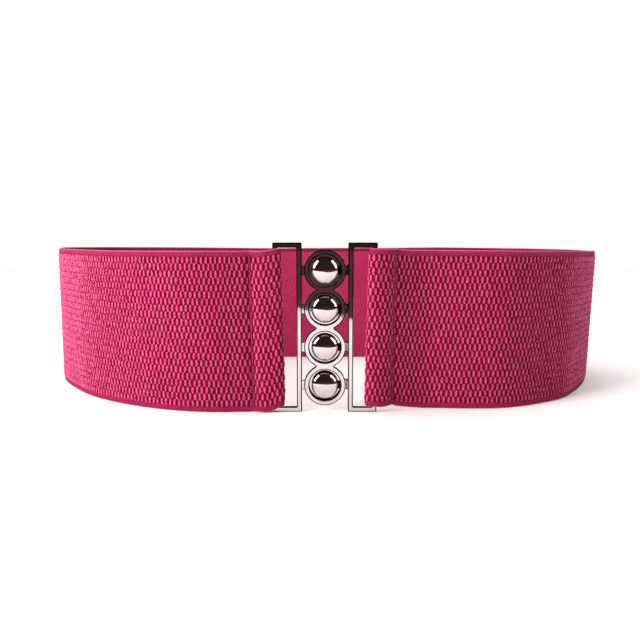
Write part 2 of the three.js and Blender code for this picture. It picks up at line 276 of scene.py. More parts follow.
def centripetal(points, steps):
    """A dense centripetal Catmull-Rom line through points, and the place of each in units of points."""
    points = np.asarray(points, float)
    padded = np.vstack([2 * points[0] - points[1], points, 2 * points[-1] - points[-2]])
    out, at = [], []
    w = (np.arange(steps) / steps)[:, None]
    for i in range(len(points) - 1):
        p0, p1, p2, p3 = padded[i : i + 4]
        d0, d1, d2 = (math.sqrt(np.linalg.norm(b - a)) for a, b in ((p0, p1), (p1, p2), (p2, p3)))
        t1 = ((p1 - p0) / d0 - (p2 - p0) / (d0 + d1) + (p2 - p1) / d1) * d1
        t2 = ((p2 - p1) / d1 - (p3 - p1) / (d1 + d2) + (p3 - p2) / d2) * d1
        out.append(p1 + t1 * w + (3 * (p2 - p1) - 2 * t1 - t2) * w**2 + (2 * (p1 - p2) + t1 + t2) * w**3)
        at.append(i + w[:, 0])
    out.append(points[-1:])
    at.append([len(points) - 1])
    return np.concatenate(out), np.concatenate(at)


def side_sections(sign, strap, clasp):
    """One side of the strap as rows of x, y, lift, lean and rise, and the rows that its seam is in."""
    layout = clasp_layout(clasp, strap)
    reach = strap.left_reach if sign < 0 else strap.right_reach
    seam = strap.left_seam if sign < 0 else strap.right_seam
    end = LEFT_END if sign < 0 else RIGHT_END
    plan = LEFT_PLAN if sign < 0 else RIGHT_PLAN
    half = strap.thickness / 2
    fold_edge = layout["outer"] - clasp.outer_bar_width - strap.fold_slack - strap.thickness
    radius = clasp.bar_depth / 2 + strap.fold_slack + half
    centre = fold_edge + half + radius
    least = strap.thickness + strap.flap_gap
    lean = sign * strap.top_lean
    fold_row = ((half + radius) / seam, 1, 1, 1)
    rows = np.array([fold_row, *(row for row in end if row[0] > fold_row[0])])

    def row_at(out):
        return [np.interp(out, rows[:, 0], rows[:, k]) for k in range(4)]

    def front(stand):
        return clasp.bar_depth / 2 - radius * stand

    def across(out):
        return sign * (fold_edge + out * seam) - lean

    flap_end = 1 + strap.flap_tail / seam
    flap = []
    for out in [flap_end, *(row[0] for row in reversed(end) if row[0] < flap_end)]:
        _, stand, apart, lift = row_at(out)
        y = front(stand) + least + apart * (2 * radius - least)
        flap.append((across(out), y, lift, lean, 0))
    flap_seam = [flap_end, *(row[0] for row in reversed(end) if row[0] < flap_end)].index(1)
    fold = []
    for k in range(7):
        angle = math.pi * k / 6
        x = sign * (centre - radius * math.sin(angle)) - lean
        fold.append((x, clasp.bar_depth / 2 + radius * math.cos(angle), 1, lean, 0))
    sewn = [(across(out), front(stand), lift, lean, 0) for out, stand, _, lift in end]
    loop = [
        (sign * a * (reach - half), b * (strap.loop_depth - half), 0, leaning * lean, rising * strap.top_rise)
        for a, b, leaning, rising in plan
    ]
    front_seam = len(flap) + len(fold) + [row[0] for row in end].index(1)
    return flap + fold + sewn + loop, (flap_seam, front_seam)


class StrapPath:
    """The middle of the strap at its foot, by distance from its left cut end."""

    def __init__(self, strap, clasp):
        left, left_seams = side_sections(-1, strap, clasp)
        right, right_seams = side_sections(1, strap, clasp)
        rows = np.array(left + right[::-1])
        last = len(rows) - 1
        line, at = centripetal(rows[:, :2], 16)
        steps = np.linalg.norm(np.diff(line, axis=0), axis=1)
        self.distance = np.concatenate([[0], np.cumsum(steps)])
        self.length = self.distance[-1]
        self.x = line[:, 0] + CLASP_MIDDLE_X
        self.y = line[:, 1] + FRAME_FRONT_Y
        along = np.gradient(line, self.distance, axis=0)
        self.along = along / np.linalg.norm(along, axis=1)[:, None]
        whole = np.arange(last + 1)
        self.lift = np.interp(at, whole, rows[:, 2])
        self.lean = np.interp(at, whole, rows[:, 3])
        self.rise = np.interp(at, whole, rows[:, 4])
        ends = [*left_seams, *(last - i for i in right_seams)]
        self.seams = [float(np.interp(i, at, self.distance)) for i in ends]
        layout = clasp_layout(clasp, strap)
        self.height = strap.height
        self.fold_bottom = clasp.bar_width + clasp.clearance
        self.fold_top = layout["height"] - clasp.bar_width - clasp.clearance

    def points(self, along, out, height):
        """World points at a distance along the strap, out from its middle, and a height up it."""
        along, out, height = np.broadcast_arrays(along, out, height)
        x = np.interp(along, self.distance, self.x)
        y = np.interp(along, self.distance, self.y)
        tx = np.interp(along, self.distance, self.along[:, 0])
        ty = np.interp(along, self.distance, self.along[:, 1])
        size = np.hypot(tx, ty)
        lift = np.interp(along, self.distance, self.lift)
        lean = np.interp(along, self.distance, self.lean)
        up = height / self.height
        low = lift * self.fold_bottom
        full = self.height + np.interp(along, self.distance, self.rise)
        high = full + lift * (self.fold_top - full)
        return np.stack(
            [x + lean * up - ty / size * out, y + tx / size * out, low + (high - low) * up], axis=-1
        )


def seam_pull(path, along, width):
    """How strongly the nearest seam pulls the face in, from 0 to 1."""
    pull = np.zeros_like(along)
    for at in path.seams:
        pull = np.maximum(pull, np.exp(-(((along - at) / width) ** 2)))
    return pull


def knuckled_face(path, strap, columns):
    """The knuckled rows of the outer face: their places along the strap, depths, heights and relief."""
    rows = strap.knuckle_rows
    pitch = (strap.height - 2 * strap.selvedge) / rows
    column = path.length / columns
    rng = np.random.default_rng(SEED)
    tall = rng.uniform(0.88, 1.04, (rows, columns + 1))
    shift = rng.uniform(-0.03, 0.03, (rows, columns + 1))
    tip = 0.39  # of the row pitch, from a knuckle's middle to its ends
    sides = {-1: 0.22, 0: 0.27, 1: 0.22}  # half widths, as shares of the column pitch
    crowns = {-1: 0.84, 0: 1.0, 1: 0.84}
    flanks = {-1: 0.4, 0: 0.5, 1: 0.4}
    slots = {-1: 0.14, 0: 0.0, 1: 0.14}
    along, relief, height = [], [], []
    whole = np.arange(columns + 1)
    for row in range(rows):
        odd = row % 2
        for part in (-1, 0, 1):
            half_width = sides[part] + shift[row] * (part == 0)
            if odd:
                phases = (0 * whole, 0.5 - half_width, 0.5 + 0 * whole, 0.5 + half_width)
                levels = (slots[part], flanks[part], crowns[part], flanks[part])
                own = (0, 1, 1, 1)
            else:
                phases = (0 * whole, half_width, 0.5 + 0 * whole, 1 - half_width)
                levels = (crowns[part], flanks[part], slots[part], flanks[part])
                own = (1, 1, 0, 1)
            line = np.stack([whole + phase for phase in phases], axis=1).ravel()[: 4 * columns + 1]
            sized = [level * (tall[row] if mine else 1) for level, mine in zip(levels, own)]
            level = np.stack(np.broadcast_arrays(*sized), axis=1).ravel()[: 4 * columns + 1]
            along.append(np.minimum(line * column, path.length))
            relief.append(level)
            height.append(np.full(4 * columns + 1, strap.selvedge + (row + 0.5 + tip * part) * pitch))
    return np.array(along), np.array(relief), np.array(height)


def strap_mesh(strap, clasp):
    """The whole strap as one closed mesh, with its relief and kinds of surface kept for the finish."""
    path = StrapPath(strap, clasp)
    columns = round(path.length / strap.column_pitch)
    half = strap.thickness / 2
    along, relief, height = knuckled_face(path, strap, columns)
    pull = seam_pull(path, along, SEAM_SPREAD)
    depth = half - strap.relief * (1 - relief * (1 - SEAM_PRESS * pull)) - strap.groove * pull
    face = path.points(along, depth, height)
    face_rows, face_columns = along.shape

    foot = [(d * half, h * strap.selvedge) for d, h in SELVEDGE_SECTION]
    head = [(d, strap.height - h) for d, h in reversed(foot)]
    low, high = foot[-1][1], head[0][1]
    lining = [(-half, low + (high - low) * (k + 1) / (LINING_ROWS + 1)) for k in range(LINING_ROWS)]
    plain = foot + lining + head
    plain_along = path.length * np.arange(columns + 1) / columns
    plain_pull = seam_pull(path, plain_along, SEAM_SPREAD)
    rings = []
    for d, h in plain:
        inward = strap.groove * EDGE_GROOVE * plain_pull * (d > 0)
        rings.append(path.points(plain_along, d - inward, h))
    edging = [h <= strap.selvedge or h >= strap.height - strap.selvedge for _, h in plain]

    points = np.concatenate([face.reshape(-1, 3), np.concatenate(rings)])
    place = np.concatenate(
        [
            np.stack([along, height, depth], axis=-1).reshape(-1, 3),
            np.concatenate([np.stack(np.broadcast_arrays(plain_along, h, d), -1) for d, h in plain]),
        ]
    )
    count = columns + 1
    row_pitch = (strap.height - 2 * strap.selvedge) / strap.knuckle_rows
    knit = place * [columns / path.length, 1 / row_pitch, 0] - [0, strap.selvedge / row_pitch, 0]
    edging_all = np.concatenate([np.zeros(relief.size), np.repeat(edging, count).astype(float)])
    inner = [d <= -0.99 * half for d, _ in plain]
    lining_all = np.concatenate([np.zeros(relief.size), np.repeat(inner, count).astype(float)])

    def at_face(row, i):
        return row * face_columns + i

    def at_plain(row, i):
        return face_rows * face_columns + row * count + i

    faces = []
    i = np.arange(face_columns - 1)
    for row in range(face_rows - 1):
        a, b = at_face(row, i), at_face(row + 1, i)
        faces += np.stack([a, a + 1, b + 1, b], axis=1).tolist()
    i = np.arange(columns)
    for row in range(len(plain) - 1):
        a, b = at_plain(row, i), at_plain(row + 1, i)
        faces += np.stack([a, b, b + 1, a + 1], axis=1).tolist()
    for plain_row, face_row, turned in ((0, 0, False), (len(plain) - 1, face_rows - 1, True)):
        for k in range(columns):
            c0, c1 = at_plain(plain_row, k), at_plain(plain_row, k + 1)
            f = [at_face(face_row, 4 * k + j) for j in range(5)]
            fan = [(c0, f[1], f[0]), (c0, f[2], f[1]), (c0, c1, f[2]), (c1, f[3], f[2]), (c1, f[4], f[3])]
            faces += [t[::-1] for t in fan] if turned else fan
    left_ring = [at_face(r, 0) for r in range(face_rows)]
    left_ring += [at_plain(r, 0) for r in reversed(range(len(plain)))]
    right_ring = [at_face(r, face_columns - 1) for r in range(face_rows)]
    right_ring += [at_plain(r, columns) for r in reversed(range(len(plain)))]
    faces += [left_ring, right_ring[::-1]]

    mesh = bpy.data.meshes.new("elastic_strap_knit")
    mesh.from_pydata(points.tolist(), [], faces)
    mesh.update()
    for name, values in (("edging", edging_all), ("lining", lining_all)):
        mesh.attributes.new(name, "FLOAT", "POINT").data.foreach_set("value", values)
    for name, values in (("place", place), ("knit", knit)):
        mesh.attributes.new(name, "FLOAT_VECTOR", "POINT").data.foreach_set("vector", values.ravel())
    mesh.shade_smooth()
    return mesh, path


def capsule(start, end, radius, sides=8, caps=2):
    """A round-ended thread from start to end, as points and faces."""
    axis = (end - start).normalized()
    across = axis.orthogonal().normalized()
    other = axis.cross(across)
    rings = []
    for k in range(caps):
        angle = (k + 1) * math.pi / 2 / (caps + 1)
        rings.append((start - axis * radius * math.cos(angle), radius * math.sin(angle)))
    rings += [(start, radius), (end, radius)]
    for k in reversed(range(caps)):
        angle = (k + 1) * math.pi / 2 / (caps + 1)
        rings.append((end + axis * radius * math.cos(angle), radius * math.sin(angle)))
    points = [start - axis * radius]
    for centre, size in rings:
        for s in range(sides):
            turn = FULL_TURN * s / sides
            points.append(centre + (across * math.cos(turn) + other * math.sin(turn)) * size)
    points.append(end + axis * radius)
    faces = [(0, 1 + (s + 1) % sides, 1 + s) for s in range(sides)]
    for r in range(len(rings) - 1):
        for s in range(sides):
            a, b = 1 + r * sides + s, 1 + r * sides + (s + 1) % sides
            faces.append((a, b, b + sides, a + sides))
    last = len(points) - 1
    base = 1 + (len(rings) - 1) * sides
    faces += [(last, base + s, base + (s + 1) % sides) for s in range(sides)]
    return points, faces


def stitches_mesh(path, strap):
    """The lines of stitches in the seams, on every face of the cloth that shows."""
    rng = np.random.default_rng(SEED + 1)
    pitch, gap, radius = 3.0 * MM, 0.7 * MM, 0.24 * MM
    points, faces = [], []
    for at in path.seams:
        depth = strap.thickness / 2 - strap.groove - 0.1 * MM
        foot = 1.2 * MM
        count = int((strap.height - 2 * foot) / pitch)
        for k in range(count):
            low = foot + k * pitch + gap / 2
            drift = rng.normal(0, 0.12 * MM, 2)
            ends = path.points(
                np.array([at + drift[0], at + drift[1]]), depth, np.array([low, low + pitch - gap])
            )
            more, sides = capsule(Vector(ends[0]), Vector(ends[1]), radius)
            first = len(points)
            points += more
            faces += [tuple(first + i for i in face) for face in sides]
    mesh = bpy.data.meshes.new("seam_stitches")
    mesh.from_pydata([tuple(p) for p in points], [], faces)
    mesh.update()
    mesh.shade_smooth()
    return mesh


class Casting:
    """Gathers the surfaces of a cast piece, with exact normals, into one mesh."""

    def __init__(self, clasp):
        self.points = []
        self.normals = []
        self.faces = []
        self.edge = clasp.edge_round
        self.offset = np.array([CLASP_MIDDLE_X, FRAME_FRONT_Y, 0])

    def add(self, points, normals, faces):
        first = len(self.points)
        self.points += [tuple(np.asarray(p) + self.offset) for p in points]
        self.normals += [tuple(n) for n in normals]
        self.faces += [tuple(first + i for i in face) for face in faces]

    def plate(self, outer, holes, front, depth):
        """A flat plate with bevelled edges, from loops of (x, z, normal x, normal z)."""
        points, normals, faces = [], [], []
        edge = min(self.edge, 0.45 * depth)
        profile = []
        for inset, y, degrees in SOFT_BEVEL:
            angle = math.radians(degrees)
            profile.append((inset, y, math.sin(angle), -math.cos(angle)))
        rows = [(e, front + y * edge, out, face) for e, y, out, face in profile]
        rows += [(e, front + depth - y * edge, out, -face) for e, y, out, face in reversed(profile)]
        caps = [[], []]
        for loop in (outer, *holes):
            size = len(loop)
            first = len(points)
            for inset, y, out, face in rows:
                for x, z, nx, nz in loop:
                    points.append((x - nx * inset * edge, y, z - nz * inset * edge))
                    normals.append((nx * out, face, nz * out))
            for r in range(len(rows) - 1):
                for s in range(size):
                    a, b = first + r * size + s, first + r * size + (s + 1) % size
                    faces.append((a, b, b + size, a + size))
            for cap, row in zip(caps, (0, len(rows) - 1)):
                cap.append([first + row * size + s for s in range(size)])
        for cap, turned in zip(caps, (False, True)):
            flat = [i for loop in cap for i in loop]
            loops = [[Vector((points[i][0], points[i][2], 0)) for i in loop] for loop in cap]
            for tri in tessellate_polygon(loops):
                a, b, c = (flat[i] for i in tri)
                pa, pb, pc = (points[i] for i in (a, b, c))
                turn = (pb[0] - pa[0]) * (pc[2] - pa[2]) - (pb[2] - pa[2]) * (pc[0] - pa[0])
                faces.append((a, b, c) if (turn > 0) != turned else (a, c, b))
        self.add(points, normals, faces)

    def turned(self, profile, z, steps=64):
        """A profile of (radius, y, normal out, normal y) turned round the axis of a ring."""
        points, normals, faces = [], [], []
        for radius, y, out, face in profile:
            for s in range(steps):
                turn = FULL_TURN * s / steps
                points.append((radius * math.cos(turn), y, z + radius * math.sin(turn)))
                normals.append((out * math.cos(turn), face, out * math.sin(turn)))
        for r in range(len(profile) - 1):
            for s in range(steps):
                a, b = r * steps + s, r * steps + (s + 1) % steps
                faces.append((a, b, b + steps, a + steps))
        self.add(points, normals, faces)

    def mesh(self, name):
        mesh = bpy.data.meshes.new(name)
        mesh.from_pydata(self.points, [], self.faces)
        mesh.update()
        mesh.shade_smooth()
        mesh.normals_split_custom_set_from_vertices(self.normals)
        return mesh


def rounded_box(left, right, low, high, radius, inward=False, steps=5):
    """A rectangle with rounded corners as a loop of x, z and normals; a hole's normals point inward."""
    left, right = min(left, right), max(left, right)
    loop = []
    for x, z, start in (
        (right - radius, low + radius, -90),
        (right - radius, high - radius, 0),
        (left + radius, high - radius, 90),
        (left + radius, low + radius, 180),
    ):
        for k in range(steps + 1):
            turn = math.radians(start + 90 * k / steps)
            c, s = math.cos(turn), math.sin(turn)
            flip = -1 if inward else 1
            loop.append((x + radius * c, z + radius * s, flip * c, flip * s))
    return loop[::-1] if inward else loop


def circle(z, radius, inward=False, steps=72):
    loop = []
    for k in range(steps):
        turn = FULL_TURN * k / steps
        c, s = math.cos(turn), math.sin(turn)
        flip = -1 if inward else 1
        loop.append((radius * c, z + radius * s, flip * c, flip * s))
    return loop[::-1] if inward else loop


def ring_chain(heights, radius, fillet, steps=40):
    """The outline of rings that run into each other, with a small fillet in each neck."""
    pitch = heights[1] - heights[0]
    reach = math.sqrt((radius + fillet) ** 2 - (pitch / 2) ** 2)
    neck = math.atan2(pitch / 2, reach)
    side = []
    for i, z in enumerate(heights):
        start = -math.pi / 2 if i == 0 else -neck
        stop = math.pi / 2 if i == len(heights) - 1 else neck
        for k in range(steps + 1):
            turn = start + (stop - start) * k / steps
            c, s = math.cos(turn), math.sin(turn)
            side.append((radius * c, z + radius * s, c, s))
        if i < len(heights) - 1:
            for k in range(1, 8):
                turn = math.pi + neck - 2 * neck * k / 8
                c, s = math.cos(turn), math.sin(turn)
                side.append((reach + fillet * c, z + pitch / 2 + fillet * s, -c, -s))
    other = [(-x, z, -nx, nz) for x, z, nx, nz in reversed(side[1:-1])]
    return side + other


def cast_frame(casting, sign, layout, clasp):
    inner, outer = sign * layout["inner"], sign * layout["outer"]
    window_inner = sign * (layout["inner"] + clasp.bar_width)
    window_outer = sign * (layout["outer"] - clasp.outer_bar_width)
    outline = rounded_box(inner, outer, 0, layout["height"], FRAME_CORNER)
    top = layout["height"] - clasp.bar_width
    window = rounded_box(window_inner, window_outer, clasp.bar_width, top, WINDOW_CORNER, inward=True)
    casting.plate(outline, [window], 0, clasp.bar_depth)


def ring_half_mesh(clasp, strap):
    """Left half of the clasp: frame, column of rings, and the lugs between them."""
    layout = clasp_layout(clasp, strap)
    casting = Casting(clasp)
    cast_frame(casting, -1, layout, clasp)
    holes = [circle(z, layout["hole"], inward=True) for z in layout["rings"]]
    casting.plate(ring_chain(layout["rings"], clasp.ring_radius, 0.35 * MM), holes, 0, clasp.bar_depth)
    for z in layout["rings"]:
        low, high = z - clasp.lug_height / 2, z + clasp.lug_height / 2
        left = -layout["inner"] - clasp.bar_width / 2
        right = -clasp.ring_radius + clasp.ring_wall / 2
        lug = rounded_box(left, right, low, high, ARM_CORNER)
        casting.plate(lug, [], clasp.lug_recess, clasp.bar_depth - ROOT_INSET - clasp.lug_recess)
    return casting.mesh("ring_half_cast")


def stud_profile(clasp, layout):
    """Neck, underside and dome of a stud, from the arm behind it to the front of the dome."""
    head, sink, neck = layout["head"], clasp.head_sink, 3.6 * MM
    back, dome = 1.2 * MM, clasp.dome_height
    root = clasp.bar_depth + clasp.clearance + clasp.arm_depth / 2
    meet = math.acos(neck / head)
    profile = [(neck, root, 1, 0), (neck, sink + back * math.sin(meet), 1, 0)]
    steps = 10
    for k in range(steps):
        angle = meet * (1 - k / steps)
        out, face = back * math.cos(angle), head * math.sin(angle)
        size = math.hypot(out, face)
        row = (head * math.cos(angle), sink + back * math.sin(angle), out / size, face / size)
        profile.append(row)
    steps = 28
    for k in range(steps + 1):
        angle = math.pi / 2 * k / steps
        out, face = dome * math.cos(angle), head * math.sin(angle)
        size = math.hypot(out, face)
        row = (head * math.cos(angle), sink - dome * math.sin(angle), out / size, -face / size)
        profile.append(row)
    return [(max(r, 1e-6), y, out, face) for r, y, out, face in profile]


def stud_half_mesh(clasp, strap):
    """Right half of the clasp: frame, and a stud for each ring on an arm that ends in a disc."""
    layout = clasp_layout(clasp, strap)
    casting = Casting(clasp)
    cast_frame(casting, 1, layout, clasp)
    back = clasp.bar_depth + clasp.clearance
    root_end = layout["inner"] + clasp.bar_width - ROOT_INSET
    for z in layout["rings"]:
        low, high = z - clasp.lug_height / 2, z + clasp.lug_height / 2
        casting.plate(circle(z, clasp.ring_radius - clasp.disc_inset), [], back, clasp.arm_depth)
        casting.plate(rounded_box(0, root_end, low, high, ARM_CORNER), [], back, clasp.arm_depth)
        root = rounded_box(clasp.ring_radius + clasp.clearance, root_end, low, high, ARM_CORNER)
        casting.plate(root, [], clasp.lug_recess, back + clasp.arm_depth - ROOT_INSET - clasp.lug_recess)
        casting.turned(stud_profile(clasp, layout), z)
    return casting.mesh("stud_half_cast")


def fill(tree, node, inputs):
    """Gives a node's inputs their values, or links them to the sockets that these come from."""
    for key, value in inputs.items():
        if isinstance(value, bpy.types.NodeSocket):
            tree.links.new(value, node.inputs[key])
        else:
            node.inputs[key].default_value = value


def add_node(tree, kind, inputs=None, **settings):
    node = tree.nodes.new(kind)
    for name, value in settings.items():
        setattr(node, name, value)
    fill(tree, node, inputs or {})
    return node


def maths(tree, operation, *values, **settings):
    inputs = dict(enumerate(values))
    return add_node(tree, "ShaderNodeMath", inputs, operation=operation, **settings).outputs[0]


def remap(tree, value, start, stop, low=0.0, high=1.0, **settings):
    """The span of a value from start to stop, as one from low to high."""
    inputs = {"Value": value, "From Min": start, "From Max": stop, "To Min": low, "To Max": high}
    return add_node(tree, "ShaderNodeMapRange", inputs, **settings).outputs["Result"]


def bump(tree, height, strength, distance, under=None):
    """The normal of a bumped surface, on top of the normal under it."""
    inputs = {"Height": height, "Strength": strength, "Distance": distance}
    if under is not None:
        inputs["Normal"] = under
    return add_node(tree, "ShaderNodeBump", inputs).outputs["Normal"]


def mix_colour(tree, factor, first, second):
    node = tree.nodes.new("ShaderNodeMix")
    node.data_type = "RGBA"
    sockets = [socket for socket in node.inputs if socket.enabled]
    tree.links.new(factor, sockets[0])
    for socket, value in zip(sockets[1:], (first, second)):
        if isinstance(value, bpy.types.NodeSocket):
            tree.links.new(value, socket)
        else:
            socket.default_value = (*value, 1.0)
    return next(socket for socket in node.outputs if socket.enabled)


def shader_group(name, inputs, outputs):
    """An empty shader group of numbers; an input without a default is a vector."""
    tree = bpy.data.node_groups.new(name, "ShaderNodeTree")
    for socket, default in inputs.items():
        kind = "NodeSocketVector" if default is None else "NodeSocketFloat"
        made = tree.interface.new_socket(socket, in_out="INPUT", socket_type=kind)
        if default is not None:
            made.default_value = default
    for socket in outputs:
        tree.interface.new_socket(socket, in_out="OUTPUT", socket_type="NodeSocketFloat")
    return tree, tree.nodes.new("NodeGroupInput").outputs, tree.nodes.new("NodeGroupOutput").inputs


def use_group(tree, group, inputs):
    return add_node(tree, "ShaderNodeGroup", inputs, node_tree=group).outputs


def fine_variation():
    """A value that drifts between Low and High over the surface, with finer mottling on top."""
    name = "Fine variation"
    if name in bpy.data.node_groups:
        return bpy.data.node_groups[name]
    sockets = {"Vector": None, "Scale": 100.0, "Low": 0.0, "High": 1.0}
    tree, given, out = shader_group(name, sockets, ["Value"])
    inputs = {"Vector": given["Vector"], "Scale": given["Scale"], "Detail": 4.0, "Roughness": 0.6}
    noise = add_node(tree, "ShaderNodeTexNoise", inputs).outputs["Fac"]
    tree.links.new(remap(tree, noise, 0.3, 0.7, given["Low"], given["High"]), out["Value"])
    return tree


def varied(tree, place, scale, low, high):
    inputs = {"Vector": place, "Scale": scale, "Low": low, "High": high}
    return use_group(tree, fine_variation(), inputs)["Value"]


def yarn_strands():
    """Height of fine strands that cover a yarn: ridges across one direction, with a twist to them."""
    name = "Yarn strands"
    if name in bpy.data.node_groups:
        return bpy.data.node_groups[name]
    sockets = {"Vector": None, "Strands per metre": 3600.0, "Twist": 0.35}
    tree, given, out = shader_group(name, sockets, ["Height"])
    parts = add_node(tree, "ShaderNodeSeparateXYZ", {"Vector": given["Vector"]}).outputs
    slant = maths(tree, "MULTIPLY_ADD", parts["Y"], given["Twist"], parts["X"])
    inputs = {"Vector": given["Vector"], "Scale": 900.0, "Detail": 2.0}
    wander = add_node(tree, "ShaderNodeTexNoise", inputs).outputs["Fac"]
    turns = maths(tree, "MULTIPLY_ADD", slant, given["Strands per metre"], wander)
    wave = maths(tree, "SINE", maths(tree, "MULTIPLY", turns, FULL_TURN))
    tree.links.new(remap(tree, wave, -1.0, 1.0), out["Height"])
    return tree


def knuckle_ovals():
    """Upright ovals laid like bricks, one to each unit of the knit, with a crown and a height."""
    name = "Knuckle ovals"
    if name in bpy.data.node_groups:
        return bpy.data.node_groups[name]
    sockets = {
        "Vector": None, "Half width": 0.26, "Half height": 0.62, "Unevenness": 0.42, "Lumpiness": 2.2
    }
    tree, given, out = shader_group(name, sockets, ["Crown", "Height"])
    inputs = {"Vector": given["Vector"], "Scale": 1.3, "Detail": 2.0}
    noise = add_node(tree, "ShaderNodeTexNoise", inputs)
    parts = add_node(tree, "ShaderNodeSeparateXYZ", {"Vector": given["Vector"]}).outputs
    drift = add_node(tree, "ShaderNodeSeparateColor", {"Color": noise.outputs["Color"]}).outputs
    aside = maths(tree, "SUBTRACT", drift["Red"], 0.5)
    lift = maths(tree, "SUBTRACT", drift["Green"], 0.5)
    u = maths(tree, "MULTIPLY_ADD", aside, given["Unevenness"], parts["X"])
    v = maths(tree, "MULTIPLY_ADD", lift, given["Unevenness"], parts["Y"])
    row = maths(tree, "FLOOR", v)
    shifted = maths(tree, "MULTIPLY_ADD", maths(tree, "FLOORED_MODULO", row, 2.0), -0.5, u)
    across = maths(tree, "WRAP", shifted, 0.5, -0.5)
    up = maths(tree, "SUBTRACT", maths(tree, "SUBTRACT", v, row), 0.5)
    wide = maths(tree, "POWER", maths(tree, "DIVIDE", across, given["Half width"]), 2.0)
    tall = maths(tree, "POWER", maths(tree, "DIVIDE", up, given["Half height"]), 4.0)
    reach = maths(tree, "ADD", wide, tall)
    inputs = {"Vector": given["Vector"], "Scale": 3.6, "Detail": 1.0}
    lumps = add_node(tree, "ShaderNodeTexNoise", inputs).outputs["Fac"]
    lump = maths(tree, "SUBTRACT", lumps, 0.5)
    broken = maths(tree, "MULTIPLY_ADD", lump, given["Lumpiness"], reach)
    # Crown runs from 1 on a knuckle's middle to 0 at its edge, so the knuckle colour fades into painted slot
    # shade round the knuckles' sides and in the slots.
    crown = remap(tree, broken, 1.4, -0.2, interpolation_type="SMOOTHSTEP")
    tree.links.new(crown, out["Crown"])
    tree.links.new(maths(tree, "SUBTRACT", 1.0, reach, use_clamp=True), out["Height"])
    return tree


def new_material(name):
    material = bpy.data.materials.new(name)
    material.use_nodes = True
    tree = material.node_tree
    return material, tree, tree.nodes["Principled BSDF"]


def own_place(tree):
    return add_node(tree, "ShaderNodeTexCoord").outputs["Object"]


def elastic_material(strap):
    """Knuckled elastic: painted shade in the slots, bright knuckles of fine strands, smooth edges with a
    painted highlight on their turned lips, and plain lining with a band of painted shade along its top.
    """
    material, tree, principled = new_material("Knuckled elastic")

    def attribute(name, socket):
        return add_node(tree, "ShaderNodeAttribute", attribute_name=name).outputs[socket]

    place, knit_place = attribute("place", "Vector"), attribute("knit", "Vector")
    edging, lining = attribute("edging", "Fac"), attribute("lining", "Fac")
    ovals = use_group(tree, knuckle_ovals(), {"Vector": knit_place})
    crown = ovals["Crown"]
    # Painted shade in the slots and round the knuckles' sides, laid by the crown mask.
    knit = mix_colour(tree, crown, strap.slot_shade_colour, strap.top_colour)
    smooth = mix_colour(tree, edging, knit, strap.edge_colour)
    plain = mix_colour(tree, lining, smooth, strap.lining_colour)
    height = add_node(tree, "ShaderNodeSeparateXYZ", {"Vector": place}).outputs["Y"]
    from_top = maths(tree, "SUBTRACT", strap.height, height)
    # Painted shade: the lining's top 2.8 mm darkens towards the band shade colour.
    band = remap(tree, from_top, 2.8 * MM, 2.0 * MM)
    shaded = mix_colour(tree, maths(tree, "MULTIPLY", band, lining), plain, strap.band_shade_colour)
    # Painted highlight on the outer faces within 0.55 mm of the top and bottom edges.
    lip_highlight = remap(tree, maths(tree, "MINIMUM", from_top, height), 0.55 * MM, 0.2 * MM)
    outside = maths(tree, "SUBTRACT", 1.0, lining, use_clamp=True)
    whole = mix_colour(tree, maths(tree, "MULTIPLY", lip_highlight, outside), shaded, strap.lip_highlight_colour)

    strands = use_group(tree, yarn_strands(), {"Vector": place})["Height"]
    drift = varied(tree, place, 220.0, 0.92, 1.06)
    mottle = varied(tree, place, 1300.0, 0.7, 1.25)
    shade = maths(tree, "MULTIPLY", drift, mottle)
    shade = maths(tree, "MULTIPLY", shade, remap(tree, strands, 0.0, 1.0, 0.9, 1.05))
    base = add_node(tree, "ShaderNodeVectorMath", {0: whole, "Scale": shade}, operation="SCALE")
    raised = maths(tree, "SUBTRACT", 1.0, edging, use_clamp=True)
    crests = bump(tree, maths(tree, "MULTIPLY", ovals["Height"], raised), 1.0, 0.4 * MM)
    fibres = bump(tree, strands, 0.5, 0.06 * MM, crests)
    finish = {
        "Base Color": base.outputs[0],
        "Roughness": remap(tree, crown, 0.0, 1.0, 0.95, 0.55),
        "Normal": bump(tree, mottle, 0.8, 0.3 * MM, fibres),
        "Specular IOR Level": 0.1,
        "Sheen Weight": 0.02,
        "Sheen Roughness": 0.4,
        "Sheen Tint": (1.0, 0.4, 0.62, 1.0),
    }
    fill(tree, principled, finish)
    return material


def thread_material(strap):
    """Twisted sewing thread, a little darker than the knuckles."""
    material, tree, principled = new_material("Sewing thread")
    place = own_place(tree)
    inputs = {"Vector": place, "Strands per metre": 5200.0, "Twist": 1.0}
    strands = use_group(tree, yarn_strands(), inputs)["Height"]
    shade = remap(tree, strands, 0.0, 1.0, 0.8, 1.05)
    finish = {
        # Painted shade: the grooves between the strands take some of the slot shade colour.
        "Base Color": mix_colour(tree, shade, strap.slot_shade_colour, strap.thread_colour),
        "Roughness": varied(tree, place, 900.0, 0.45, 0.6),
        "Normal": bump(tree, strands, 0.7, 0.05 * MM),
    }
    fill(tree, principled, finish)
    return material


def metal_material(clasp):
    """Bright plated casting with faint handling marks."""
    material, tree, principled = new_material("Plated metal")
    place = own_place(tree)
    marks = varied(tree, place, 260.0, 0.0, 1.0)
    low = clasp.metal_roughness
    # Base colour: the plating's own tone, with a painted reflection of the pink elastic in its warm pink
    # tint.
    tint = [0.96 * c for c in clasp.metal_colour]
    finish = {
        "Base Color": mix_colour(tree, marks, tint, clasp.metal_colour),
        "Roughness": remap(tree, marks, 0.0, 1.0, low, low + 0.03),
        "Normal": bump(tree, varied(tree, place, 120.0, 0.0, 1.0), 0.25, 0.02 * MM),
        "Metallic": 1.0,
    }
    fill(tree, principled, finish)
    return material


